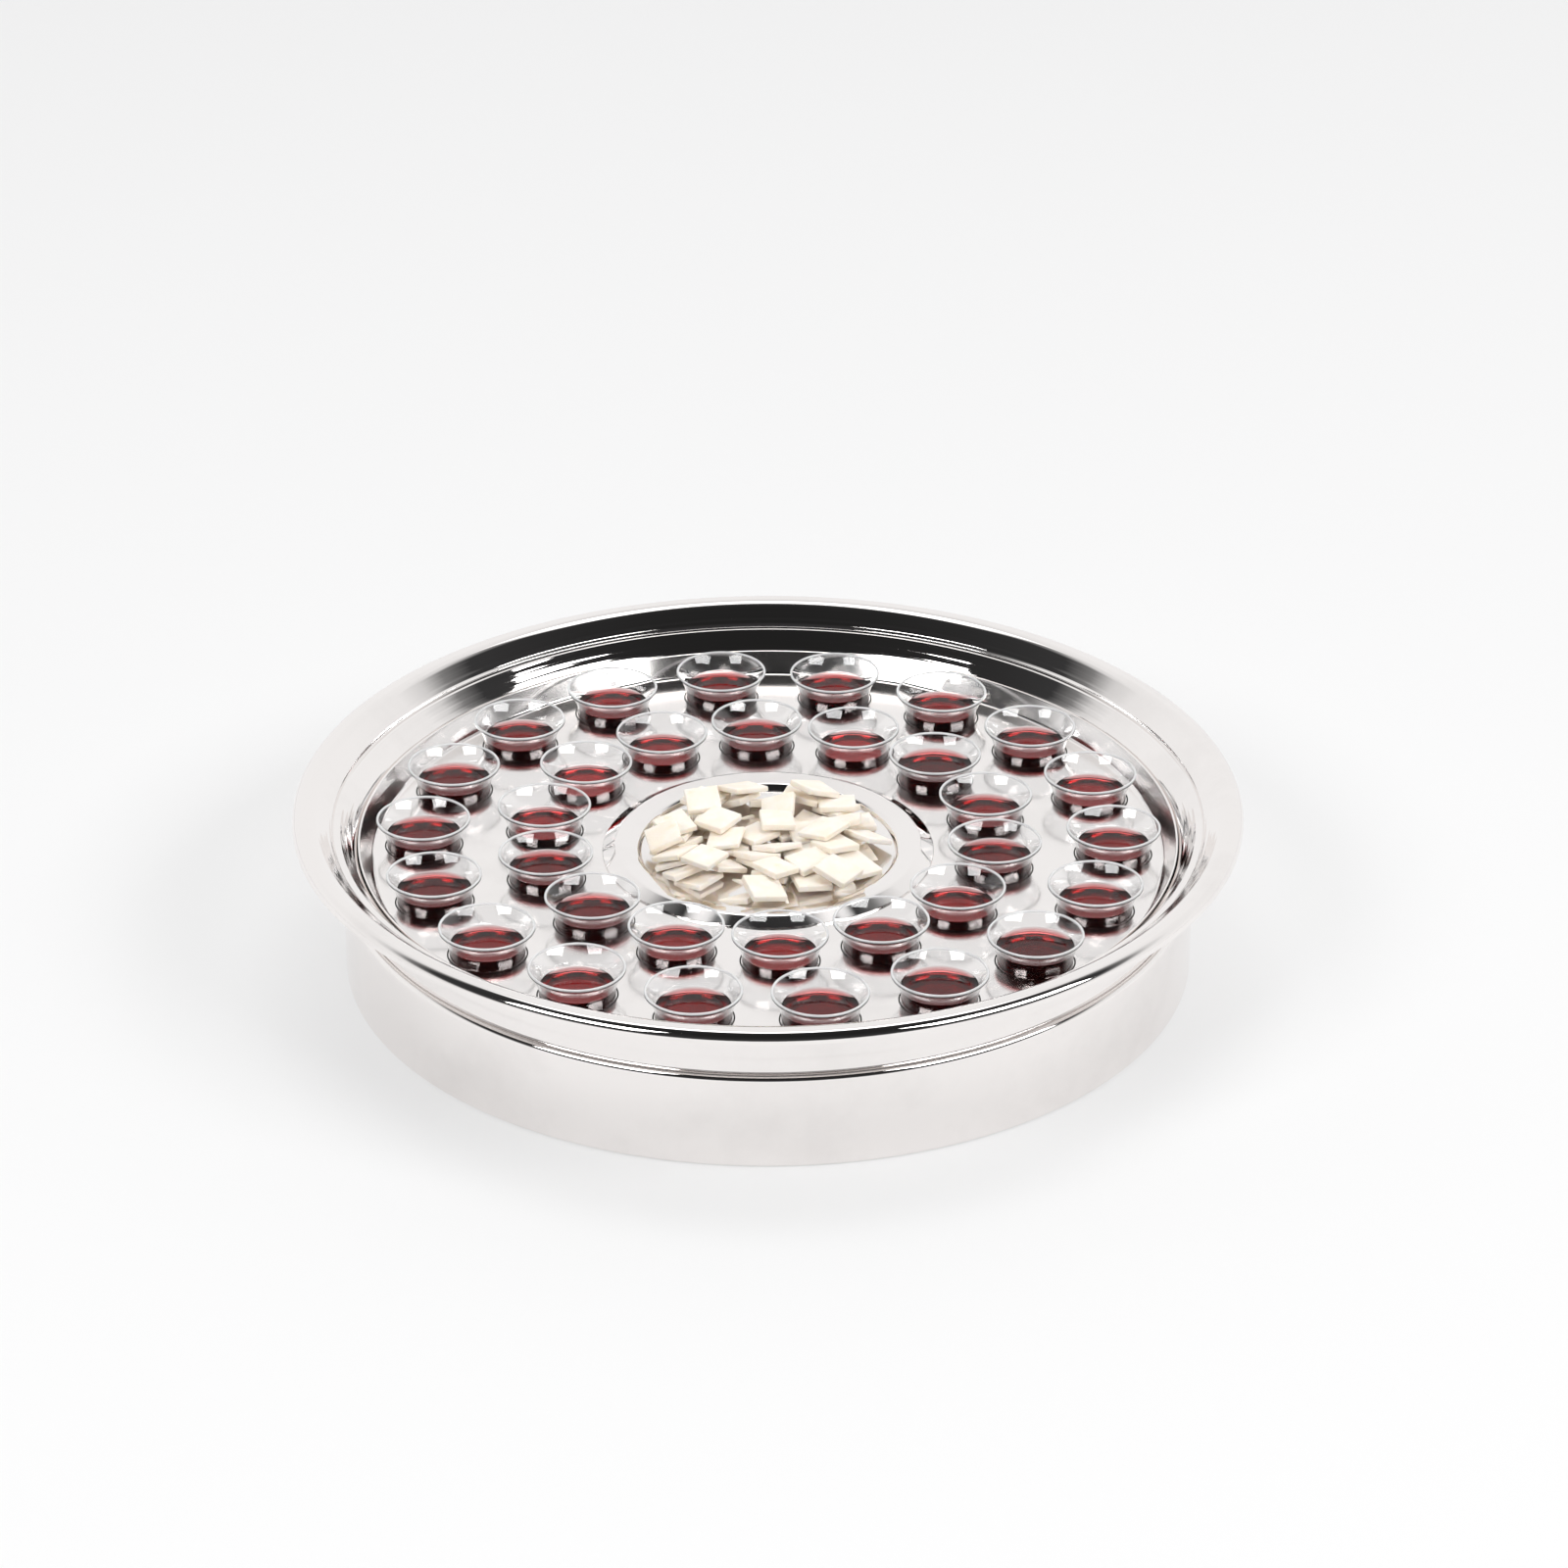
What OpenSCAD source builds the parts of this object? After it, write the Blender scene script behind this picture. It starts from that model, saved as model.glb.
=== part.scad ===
// Round communion tray of polished sheet steel: a flanged pan nested in a base drum, a lift-out
// perforated disc, two rings of clear cups that stand on the pan's floor, and a bread bowl.
// Millimetres, +Z up. The origin is the centre of the tray on the surface that it stands on.
// Every radius grows outwards from the cups: rings, then disc, then pan, flange and drum.

/* [Cups] */
// Number of cups in the outer ring
outer_count = 18; // [12:1:22]
// Number of cups in the inner ring
inner_count = 14; // [10:1:16]
// Turn of the outer ring from the back of the tray, in degrees
outer_turn = 8.2; // [0:0.1:20]
// Turn of the inner ring from the back of the tray, in degrees
inner_turn = 2.9; // [0:0.1:25]
// Height of a cup
cup_h = 35; // [30:0.5:40]
// Diameter across the flared rim of a cup
cup_rim_d = 31.2; // [28:0.2:35]
// Diameter of a cup where its flare begins
cup_neck_d = 24.6; // [22:0.2:26]
// Diameter of a cup at its foot
cup_foot_d = 21.8; // [19:0.2:23]
// Height of a cup's flare
flare_h = 7.6; // [5:0.2:10]
// Height of the upright lip that ends a cup's flare
cup_lip_h = 0.9; // [0.6:0.1:2]
// Wall of a cup
cup_wall = 0.8; // [0.5:0.1:1.2]
// Height of the hollow under a cup
cup_push_up = 0.6; // [0.3:0.1:1.2]
// Width of the ring that a cup stands on, beyond twice its wall
cup_foot_w = 0.2; // [0.1:0.1:2]
// Gap between neighbouring rims in a ring
cup_gap = 2.5; // [1:0.1:6]
// Gap between the rims of the two rings
ring_gap = 7.5; // [3:0.5:15]

/* [Cup disc] */
// Thickness of the steel sheet of every pressed piece
sheet = 0.9; // [0.6:0.1:1.2]
// Height of the disc's top above the pan's floor
disc_rise = 24.7; // [20:0.1:27]
// Radial clearance between a cup and its hole
hole_clearance = 0.5; // [0.2:0.1:1.2]
// Height of the disc's turned-up rim
disc_rim_h = 7.1; // [4:0.1:10]
// Radial run of the disc's turned-up rim
disc_rim_run = 3.9; // [2:0.1:6]
// Bend radius at the foot of the disc's rim
disc_bend_r = 1.6; // [1:0.1:3]
// Width of the lip that ends the disc's rim
disc_lip_w = 0.6; // [0.3:0.1:0.8]
// Clearance between nested sheets
nest_clearance = 0.3; // [0.2:0.05:0.6]

/* [Pan and flange] */
// Height of the pan's floor above the table
floor_h = 12.8; // [6:0.2:18]
// Gap between the outer cups and the pan's lower wall
wall_gap = 1.9; // [1.2:0.1:5]
// Inward lean of the pan's lower wall
wall_lean = 0.4; // [0.2:0.1:0.6]
// Width of the ledge that carries the disc
seat_w = 2.6; // [2:0.1:6]
// Bend radius between the pan's floor and wall
floor_bend_r = 1.6; // [1:0.1:2]
// Height of the cone above the disc's rim
cone_h = 5.6; // [4:0.1:9]
// Radial run of that cone
cone_run = 5; // [3:0.1:8]
// Width of the stacking ledge
ledge_w = 2.1; // [1.8:0.1:5]
// Depth of the stacking recess below the top of the flange
recess_depth = 6.8; // [5:0.1:10]
// Radial run of the small riser round the stacking ledge
riser_run = 0.5; // [0.2:0.1:1.5]
// Height of that riser
riser_h = 1.2; // [0.5:0.1:3]
// Width of the flange, from the recess to the outer edge
flange_w = 13.4; // [12:0.1:20]
// Radial run of the flange's inner slope
slope_run = 6.4; // [4:0.1:7]
// Radius of the flange's inner crest
crest_bend_r = 2.4; // [1.5:0.1:3]
// Radius of the flange's rolled outer edge
lip_r = 3; // [2:0.1:4]
// Straight drop below the rolled edge
lip_drop = 0.5; // [0.2:0.1:4]

/* [Base drum] */
// Height of the upper band
band_h = 11.1; // [6:0.1:20]
// Gap between the pan's cone and the upper band
band_gap = 1.3; // [0.8:0.1:4]
// Outward step of the shoulder
step_w = 2.4; // [1.5:0.1:5]
// Radius of the shoulder
shoulder_r = 2.2; // [1:0.1:4]
// Bend radius at the drum's foot
foot_bend_r = 1.6; // [1.1:0.1:4]
// Width of the turned-in foot
foot_w = 7; // [5:0.5:15]

/* [Bread bowl] */
// Diameter of the bowl's mouth
bowl_mouth_d = 86.4; // [80:0.2:92]
// Diameter of the bowl's floor
bowl_floor_d = 69; // [60:0.5:74]
// Depth of the bowl from the top of its flange
bowl_depth = 14.6; // [10:0.1:20]
// Height of the bowl's flange above the disc
bowl_rise = 2.9; // [2.6:0.1:5]
// Width of the bowl's flange from its mouth to its crest
bowl_crest_w = 6.3; // [5:0.1:8]
// Width of the bowl's flange from its crest to its outer edge
bowl_edge_w = 5.5; // [4:0.1:7]
// Fall of the bowl's flange from its crest to the mouth
bowl_fall = 1.2; // [0.5:0.1:2]
// Upright height of the bowl's outer edge, beyond the sheet's thickness
bowl_edge_h = 0.1; // [0:0.1:0.6]
// Radius of the crest of the bowl's flange
bowl_crest_r = 5; // [2:0.5:6]
// Bend radius at the bowl's mouth
bowl_mouth_r = 2.5; // [1.5:0.1:4]
// Bend radius between the bowl's floor and wall
bowl_bend_r = 5; // [3:0.1:6]
// Clearance between the bowl and the opening in the disc
bowl_clearance = 0.8; // [0.4:0.1:2]
// Least gap between the bowl's flange and the rims of the inner ring
bowl_gap = 3; // [1:0.1:10]

/* [Bread] */
// Side of a square of bread
bread_side = 12.5; // [10:0.1:14]
// Thickness of a square of bread
bread_t = 3.5; // [2.5:0.1:4.5]
// Gap between squares in a layer
bread_gap = 0.4; // [0.2:0.1:1]
// Layers in the pile
bread_layers = 5; // [2:1:6]
// Diameter of the top layer
crown_d = 40; // [36:1:60]
// Air between layers
layer_gap = 0.1; // [0.05:0.05:0.5]
// Turn from layer to layer, in degrees
layer_turn = 23; // [0:1:45]

/* [Hidden] */
$fn = 180;
bend_steps = 8;
flare_steps = 6;
ring_tries = 6;
steel = "silver";
clear_plastic = [0.86, 0.91, 0.95, 0.55];
bread_cream = [0.96, 0.91, 0.8];

// Least inner radius of a bend, and least flat beside one
least_bend_r = 0.2;

// Cups and their rings
cup_rim_r = cup_rim_d / 2;
flare_to = cup_h - cup_lip_h;
flare_from = flare_to - flare_h;
cup_taper = (cup_neck_d - cup_foot_d) / 2 / flare_from;
cup_flare = cup_rim_r - cup_foot_d / 2 - cup_taper * flare_to;
cup_ring_r = cup_foot_d / 2 - 2 * cup_wall - cup_foot_w;
bowl_crest_at = bowl_mouth_d / 2 + bowl_crest_w;
bowl_r = bowl_crest_at + bowl_edge_w;
inner_ring_r = max(even_ring_r(inner_count), bowl_r + bowl_gap + cup_rim_r);
outer_ring_r = max(even_ring_r(outer_count), inner_ring_r + cup_rim_d + ring_gap);

// Disc
disc_z = floor_h + disc_rise;
hole_r = max(cup_r(disc_rise), cup_r(disc_rise - sheet)) + hole_clearance;
wall_r = outer_ring_r + cup_r(disc_rise) + wall_gap;
disc_r = wall_r + seat_w;
disc_rim_r = disc_r + disc_rim_run;
disc_rim_z = disc_z + disc_rim_h;

// Pan: its cone stands clear of the disc's rim by the sheet and the clearance
seat_z = disc_z - sheet;
rim_slope = atan2(disc_rim_h, disc_rim_run);
rim_stand_off = (sheet + nest_clearance) / sin(rim_slope);
cone_foot = [disc_rim_r + rim_stand_off, disc_rim_z];
seat_r = cone_foot.x - (disc_rim_z - seat_z) / tan(rim_slope);
cone_top = cone_foot + [cone_run, cone_h];
ledge_z = cone_top.y;
recess_r = cone_top.x + ledge_w;
tray_h = ledge_z + recess_depth;
tray_r = recess_r + flange_w;

// Drum: its mouth flares along the pan's cone and ends under the stacking ledge
band_r = cone_foot.x + sheet + band_gap;
drum_r = band_r + step_w;
cone_dir = unit(cone_top - cone_foot);
mouth_from = cone_foot + [cone_dir.y, -cone_dir.x] * (2 * sheet + nest_clearance);
mouth_top_z = ledge_z - 2 * sheet;
mouth_top_r = mouth_from.x + (mouth_top_z - mouth_from.y) * cone_dir.x / cone_dir.y;
band_top_z = mouth_from.y + (band_r - mouth_from.x) * cone_dir.y / cone_dir.x;
step_z = band_top_z - band_h;

// Bowl and bread
bowl_z = disc_z + bowl_rise;
bowl_floor_z = bowl_z - bowl_depth;
bowl_mouth_z = bowl_z - bowl_fall;
bowl_wall_dir = unit([bowl_mouth_d - bowl_floor_d, 2 * (bowl_mouth_z - bowl_floor_z)]);
bowl_hole_r = bowl_line_r(disc_z) + sheet / bowl_wall_dir.y + bowl_clearance;
bowl_flat_r = bowl_floor_d / 2 - bowl_bend_r * tan(atan2(bowl_wall_dir.y, bowl_wall_dir.x) / 2);
half_side = bread_side / 2;

// A cup's node name, counted clockwise from the back
function cup_name(ring, i) = str(ring, "_cup_", i < 10 ? "0" : "", i);

// Radius of a ring whose cups stand cup_gap apart
function even_ring_r(count) = (cup_rim_d + cup_gap) / 2 / sin(180 / count);

// Outer radius of a cup at height h: a plain taper, and a trumpet flare that grows with the square
function cup_r(h) = cup_foot_d / 2 + cup_taper * h + cup_flare * pow(max(h - flare_from, 0) / flare_h, 2);

// Inner radius of the bowl's straight wall at height z
function bowl_line_r(z) = bowl_floor_d / 2 + (z - bowl_floor_z) * bowl_wall_dir.x / bowl_wall_dir.y;

function unit(v) = v / norm(v);

// Points of the arc of radius r that rounds the corner b between a and c
function bend(a, b, c, r) =
    let (
        u = unit(a - b),
        w = unit(c - b),
        half = acos(max(-1, min(1, u * w))) / 2,
        centre = b + unit(u + w) * r / sin(half),
        from = b + u * r / tan(half) - centre,
        turn = (180 - 2 * half) * sign(cross(b - a, c - b)),
        start = atan2(from.y, from.x),
        step = turn / bend_steps
    )
    [for (i = [0 : bend_steps]) centre + r * [cos(start + i * step), sin(start + i * step)]];

// A path of corners [radius, height, bend radius] with its corners rounded
function rounded(path) = [
    for (i = [0 : len(path) - 1])
        let (here = [path[i].x, path[i].y])
        if (path[i].z == 0) here
        else each bend([path[i - 1].x, path[i - 1].y], here, [path[i + 1].x, path[i + 1].y], path[i].z)
];

// The path moved by t to its left, mitred at each point
function offset_left(path, t) = [
    for (i = [0 : len(path) - 1])
        let (
            before = unit(path[max(i, 1)] - path[max(i, 1) - 1]),
            after = unit(path[min(i + 1, len(path) - 1)] - path[min(i, len(path) - 2)]),
            side = unit([-before.y - after.y, before.x + after.x])
        )
        path[i] + side * t / (side * [-after.y, after.x])
];

// Sheet of thickness t spun round Z, with path as its face on the right-hand side
module spun(path, t) {
    under = offset_left(path, t);
    rotate_extrude()
        polygon(concat(path, [for (i = [len(under) - 1 : -1 : 0]) under[i]]));
}

// Angle of a place in a ring, counted clockwise from the back
function ring_angle(i, count, turn) = 90 + turn - (i - 1) * 360 / count;

// Outer skirt: turned-in foot, lower wall, rounded shoulder, upper band and flared mouth
module base_drum() {
    color(steel)
        spun(rounded([
            [drum_r - foot_w, 0, 0],
            [drum_r, 0, max(foot_bend_r, sheet + least_bend_r)],
            [drum_r, step_z, min(shoulder_r, step_w - least_bend_r)],
            [band_r, step_z, 0],
            [band_r, band_top_z, 0],
            [mouth_top_r, mouth_top_z, 0],
            [recess_r, mouth_top_z, 0],
        ]), sheet);
}

// Pan: rolled flange, stacking ledge, cone, seat for the disc, lower wall and floor
module tray_pan() {
    color(steel)
        spun(rounded([
            [tray_r, tray_h - lip_r - lip_drop, 0],
            [tray_r, tray_h, lip_r],
            [recess_r + riser_run + slope_run, tray_h, crest_bend_r],
            [recess_r + riser_run, ledge_z + riser_h, 0],
            [recess_r, ledge_z, 0],
            [cone_top.x, ledge_z, 0],
            [cone_foot.x, cone_foot.y, 0],
            [seat_r, seat_z, 0],
            [wall_r, seat_z, 0],
            [wall_r - wall_lean, floor_h, floor_bend_r],
            [0, floor_h, 0],
        ]), sheet);
}

// Perforated disc with a turned-up rim, a hole for each cup and one for the bowl
module cup_disc() {
    color(steel)
        difference() {
            spun(rounded([
                [disc_rim_r + disc_lip_w, disc_rim_z, 0],
                [disc_rim_r, disc_rim_z, 0],
                [disc_r, disc_z, disc_bend_r],
                [bowl_hole_r, disc_z, 0],
            ]), sheet);
            cup_holes(outer_count, outer_turn, outer_ring_r);
            cup_holes(inner_count, inner_turn, inner_ring_r);
        }
}

// Punches for one ring of holes
module cup_holes(count, turn, ring_r) {
    for (i = [1 : count])
        rotate(ring_angle(i, count, turn))
            translate([ring_r, 0, seat_z - sheet])
                cylinder(r = hole_r, h = 3 * sheet);
}

// Dish with a wide crested flange that stands on the disc by its outer edge
module bread_bowl() {
    color(steel)
        spun(rounded([
            [bowl_r, disc_z, 0],
            [bowl_r, disc_z + sheet + bowl_edge_h, 0],
            [bowl_crest_at, bowl_z, bowl_crest_r],
            [bowl_mouth_d / 2, bowl_mouth_z, bowl_mouth_r],
            [bowl_floor_d / 2, bowl_floor_z, bowl_bend_r],
            [0, bowl_floor_z, 0],
        ]), sheet);
}

// Height of the underside of a layer of bread
function layer_z(k) = bowl_floor_z + k * (bread_t + layer_gap);

// Largest radius that a layer of bread may reach: the bowl's flat, its wall, or the crown
function layer_limit(k) =
    k == bread_layers - 1 ? crown_d / 2
    : k == 0 ? bowl_flat_r
    : min(bowl_line_r(layer_z(k)), bowl_mouth_d / 2) - bread_gap;

// Reach of a ring of squares, the next ring outside it, and how many squares go round it
function ring_reach(r) = norm([r + half_side, half_side]);
function next_ring(r) = ring_reach(r) + bread_gap + half_side;
function squares_in(r) = r == 0 ? 1 : floor(180 / atan2(half_side + bread_gap / 2, r - half_side));

// Radii of a layer's rings: a square or a ring of three at the middle, then each next ring that fits
function layer_rings(k, r, left = ring_tries) =
    left == 0 || ring_reach(r) > layer_limit(k) ? []
    : concat([r], layer_rings(k, next_ring(r), left - 1));
first_ring = half_side + (half_side + bread_gap) / tan(60);

// Pile of flat bread squares, layer on layer from the bowl's floor
module bread_squares() {
    color(bread_cream)
        for (k = [0 : bread_layers - 1])
            for (r = layer_rings(k, k % 2 == 0 ? first_ring : 0))
                for (i = [1 : squares_in(r)])
                    rotate(i * 360 / squares_in(r) + k * layer_turn)
                        translate([r - half_side, -half_side, layer_z(k)])
                            cube([bread_side, bread_side, bread_t]);
}

// One clear cup standing on the pan's floor
module cup(turn, ring_r) {
    color(clear_plastic)
        rotate(turn)
            translate([ring_r, 0, floor_h])
                spun(concat(
                    [
                        [0, cup_push_up],
                        [cup_ring_r, cup_push_up],
                        [cup_ring_r + cup_push_up / 2, 0],
                        [cup_r(0), 0],
                        [cup_r(flare_from), flare_from],
                    ],
                    [
                        for (i = [1 : flare_steps])
                            let (h = flare_from + flare_h * i / flare_steps)
                            [cup_r(h), h]
                    ],
                    [[cup_rim_r, cup_h]]
                ), cup_wall);
}

base_drum();
tray_pan();
cup_disc();
bread_bowl();
bread_squares();
for (i = [1 : outer_count])
    cup(ring_angle(i, outer_count, outer_turn), outer_ring_r);
for (i = [1 : inner_count])
    cup(ring_angle(i, inner_count, inner_turn), inner_ring_r);
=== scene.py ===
"""Round steel communion tray with two rings of filled cups and a bread bowl.

Every shape is a profile turned round an axis or a small parametric grid, worked out in millimetres
as whole numpy arrays. Meshes are written in metres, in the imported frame's own coordinates.
"""

import logging
import math
from dataclasses import dataclass, field
from enum import Enum
from typing import Any, Callable, Mapping, Sequence

import bmesh
import bpy
import numpy as np
from mathutils import Matrix, Vector
from mathutils.geometry import delaunay_2d_cdt


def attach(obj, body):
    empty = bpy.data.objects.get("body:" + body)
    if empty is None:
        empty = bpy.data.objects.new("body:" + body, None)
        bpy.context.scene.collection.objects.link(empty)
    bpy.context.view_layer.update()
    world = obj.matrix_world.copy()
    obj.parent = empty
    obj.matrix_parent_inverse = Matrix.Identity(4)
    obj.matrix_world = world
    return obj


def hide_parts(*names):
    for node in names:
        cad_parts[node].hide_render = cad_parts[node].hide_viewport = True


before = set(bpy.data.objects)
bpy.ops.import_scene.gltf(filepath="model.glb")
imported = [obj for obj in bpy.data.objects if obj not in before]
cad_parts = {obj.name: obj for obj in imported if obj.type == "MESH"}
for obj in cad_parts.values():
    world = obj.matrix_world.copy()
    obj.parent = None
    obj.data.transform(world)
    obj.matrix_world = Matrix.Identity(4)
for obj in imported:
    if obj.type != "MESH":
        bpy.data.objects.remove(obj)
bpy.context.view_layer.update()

LOG = logging.getLogger("tray")

MM = 0.001
MERGE_M = 2.0e-6
FULL_TURN = 2.0 * math.pi
QUADRANTS = np.array([[1.0, 1.0], [-1.0, 1.0], [-1.0, -1.0], [1.0, -1.0]])

# Sizes that sub-assemblies share, in millimetres
SHEET = 0.9
PAN_FLOOR_Z = 12.8
DISC_TOP_Z = 37.5

# Sockets of a Mix node that is set to colours: factor, both colours, and the result
MIX_FACTOR, MIX_LOW, MIX_HIGH, MIX_RESULT = 0, 6, 7, 2

# How a Delaunay net fills its loops: inside, with the holes left open
NET_WITH_HOLES = 2

# A corner of a profile is its radius, height and bend radius
Corner = tuple[float, float, float]
Pair = tuple[float, float]
Colour = tuple[float, float, float]
Socket = bpy.types.NodeSocket
Sockets = Mapping[int | str, Any]
Operator = Callable[["Value", Any], "Value"]


# Shader building


@dataclass(frozen=True)
class Grain:
    """A noise pattern: lumps to the metre, octaves, and how much an octave keeps of the last.

    Where it has a span, that part of the noise is stretched to run from 0 to 1.
    """

    scale: float
    detail: float
    keep: float = 0.55
    span: Pair | None = None


def operators(operation: str) -> tuple[Operator, Operator]:
    """An operator of Value and its reflected form, such as self - other and other - self.

    Args:
        operation: What the Math node does.

    Returns:
        Both methods.
    """
    return (
        lambda self, other: self.combined(operation, self, other),
        lambda self, other: self.combined(operation, other, self),
    )


class Value:
    """A shader socket that takes part in arithmetic: each operator adds one Math node."""

    __add__, __radd__ = operators("ADD")
    __sub__, __rsub__ = operators("SUBTRACT")
    __mul__, __rmul__ = operators("MULTIPLY")
    __truediv__, __rtruediv__ = operators("DIVIDE")
    __pow__, __rpow__ = operators("POWER")

    def __init__(self, graph: "Graph", socket: Socket) -> None:
        """Wraps an output socket of a node in graph."""
        self.graph = graph
        self.socket = socket

    def combined(self, operation: str, first: Any, second: Any) -> "Value":
        """A Math node on two operands, each a number or a Value."""
        return self.graph.value("Math", {0: first, 1: second}, operation=operation)

    def clip(self, low: float, high: float) -> "Value":
        """The value held between low and high."""
        return self.combined("MINIMUM", self.combined("MAXIMUM", self, low), high)

    def ramp(self, low: float, high: float) -> "Value":
        """0 below low, 1 above high, and a straight line between."""
        sockets = {"Value": self, "From Min": low, "From Max": high}
        return self.graph.value("MapRange", sockets, clamp=True)


class Graph:
    """A node tree that is written as expressions."""

    def __init__(self, tree: bpy.types.NodeTree) -> None:
        """Takes over tree and empties it."""
        self.tree = tree
        tree.nodes.clear()

    def node(self, kind: str, inputs: Sockets | None = None, **settings: Any) -> bpy.types.Node:
        """Makes a node, sets its options, then fills its sockets.

        Args:
            kind: The node's type name, without the ShaderNode that all begin with.
            inputs: Socket index or name to a number, a colour, a Value or an output socket.
            settings: Options of the node; stops is a colour ramp's (place, colour) pairs.

        Returns:
            The new node.
        """
        made = self.tree.nodes.new(f"ShaderNode{kind}")
        for key, option in settings.items():
            if key != "stops":
                setattr(made, key, option)
                continue
            elements = made.color_ramp.elements
            for _ in option[len(elements) :]:
                elements.new(1.0)
            for element, (place, colour) in zip(elements, option):
                element.position, element.color = place, (*colour, 1.0)
        for key, given in (inputs or {}).items():
            socket = made.inputs[key]
            source = given.socket if isinstance(given, Value) else given
            if isinstance(source, Socket):
                self.tree.links.new(source, socket)
            else:
                socket.default_value = (*source, 1.0) if socket.type == "RGBA" else source
        return made

    def value(
        self, kind: str, inputs: Sockets | None = None, output: Any = 0, **settings: Any
    ) -> Value:
        """Makes a node, as node() does, and gives one of its outputs as a Value."""
        return Value(self, self.node(kind, inputs, **settings).outputs[output])

    def place(self, kind: str = "Object") -> Value:
        """Coordinates of a kind; Object coordinates are in metres."""
        return self.value("TexCoord", None, kind)

    def axes(self, vector: Value) -> list[Value]:
        """The X, Y and Z of a vector."""
        return [Value(self, socket) for socket in self.node("SeparateXYZ", {0: vector}).outputs]

    def noise(self, vector: Value, grain: Grain) -> Value:
        """Noise from 0 to 1, stretched by its grain's span.

        Args:
            vector: Where it is read, in metres.
            grain: Its pattern.

        Returns:
            The noise.
        """
        sockets = {"Vector": vector, "Scale": grain.scale, "Detail": grain.detail}
        made = self.value("TexNoise", {**sockets, "Roughness": grain.keep}, "Fac")
        return made.ramp(*grain.span) if grain.span else made

    def blend(self, mask: Value, low: Any, high: Any) -> Value:
        """A colour that goes from low to high, colours or Values, as mask goes from 0 to 1."""
        sockets = {MIX_FACTOR: mask, MIX_LOW: low, MIX_HIGH: high}
        return self.value("Mix", sockets, MIX_RESULT, data_type="RGBA")

    def bump(self, height: Value, strength: float, depth: float) -> Value:
        """A normal from a height from 0 to 1 that stands for depth metres."""
        return self.value("Bump", {"Height": height, "Strength": strength, "Distance": depth})


class Finish:
    """A surface finish that is made once and shared by its pieces."""

    name: str

    def material(self) -> bpy.types.Material:
        """The finish's material, made at its first use.

        Returns:
            The material.
        """
        made = bpy.data.materials.get(self.name)
        if made is None:
            made = bpy.data.materials.new(self.name)
            made.use_nodes = True
            self.paint(Graph(made.node_tree))
        return made

    def paint(self, graph: Graph) -> None:
        """Fills an empty node tree."""
        raise NotImplementedError


@dataclass(frozen=True)
class PolishedSteel(Finish):
    """Mirror-polished sheet with faint spinning marks, hairlines and wiped smears.

    The recess wall, between the radii of wall_r and above wall_z, also has broad waves. Lengths
    are in metres.
    """

    name: str = "mirror_steel"
    bright: Colour = (0.905, 0.875, 0.86)
    dull: Colour = (0.84, 0.81, 0.795)
    roughness: float = 0.025
    smear_grain: Grain = Grain(26.0, 5.0, 0.6, (0.48, 0.8))
    smear_rough: float = 0.05
    hair_grain: Grain = Grain(70.0, 2.0, span=(0.66, 0.74))
    hair_turn: float = 0.7
    hair_squeeze: float = 22.0
    hair_rough: float = 0.05
    mark_grain: Grain = Grain(1400.0, 2.0)
    mark_rough: float = 0.02
    mark_depth: float = 7.0e-7
    wave_grain: Grain = Grain(430.0, 1.0)
    wave_depth: float = 2.2e-4
    wall_r: Pair = (0.1375, 0.1515)
    wall_r_fade: Pair = (0.001, 0.002)
    wall_z: float = 0.0378
    wall_z_fade: float = 0.0005

    def paint(self, graph: Graph) -> None:
        """Tint and roughness follow the smears; the bump is fine rings, and on the wall broad ones.

        Rings are noise read at (radius, height), so that they run round the axis.

        Args:
            graph: The empty tree.
        """
        place = graph.place()
        x, y, z = graph.axes(place)
        radius = (x * x + y * y) ** 0.5
        rings = graph.value("CombineXYZ", {0: radius, 1: z})
        marks = graph.noise(rings, self.mark_grain)
        waves = graph.noise(rings, self.wave_grain)
        inner, outer = self.wall_r
        wall = radius.ramp(inner - self.wall_r_fade[0], inner)
        wall = wall * (1.0 - radius.ramp(outer, outer + self.wall_r_fade[1]))
        wall = wall * z.ramp(self.wall_z - self.wall_z_fade, self.wall_z + self.wall_z_fade)
        smears = graph.noise(place, self.smear_grain)
        drawn = graph.value(
            "Mapping",
            {
                "Vector": place,
                "Rotation": (0.0, 0.0, self.hair_turn),
                "Scale": (1.0, self.hair_squeeze, self.hair_squeeze),
            },
        )
        hairs = graph.noise(drawn, self.hair_grain)
        rough = self.roughness + smears * self.smear_rough + hairs * self.hair_rough
        relief = marks * self.mark_depth + waves * wall * self.wave_depth
        steel = {
            "Base Color": graph.blend(smears, self.bright, self.dull),
            "Metallic": 1.0,
            "Roughness": rough + marks * self.mark_rough,
            "Normal": graph.bump(relief, 1.0, 1.0),
        }
        graph.node("OutputMaterial", {"Surface": graph.value("BsdfPrincipled", steel)})


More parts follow.
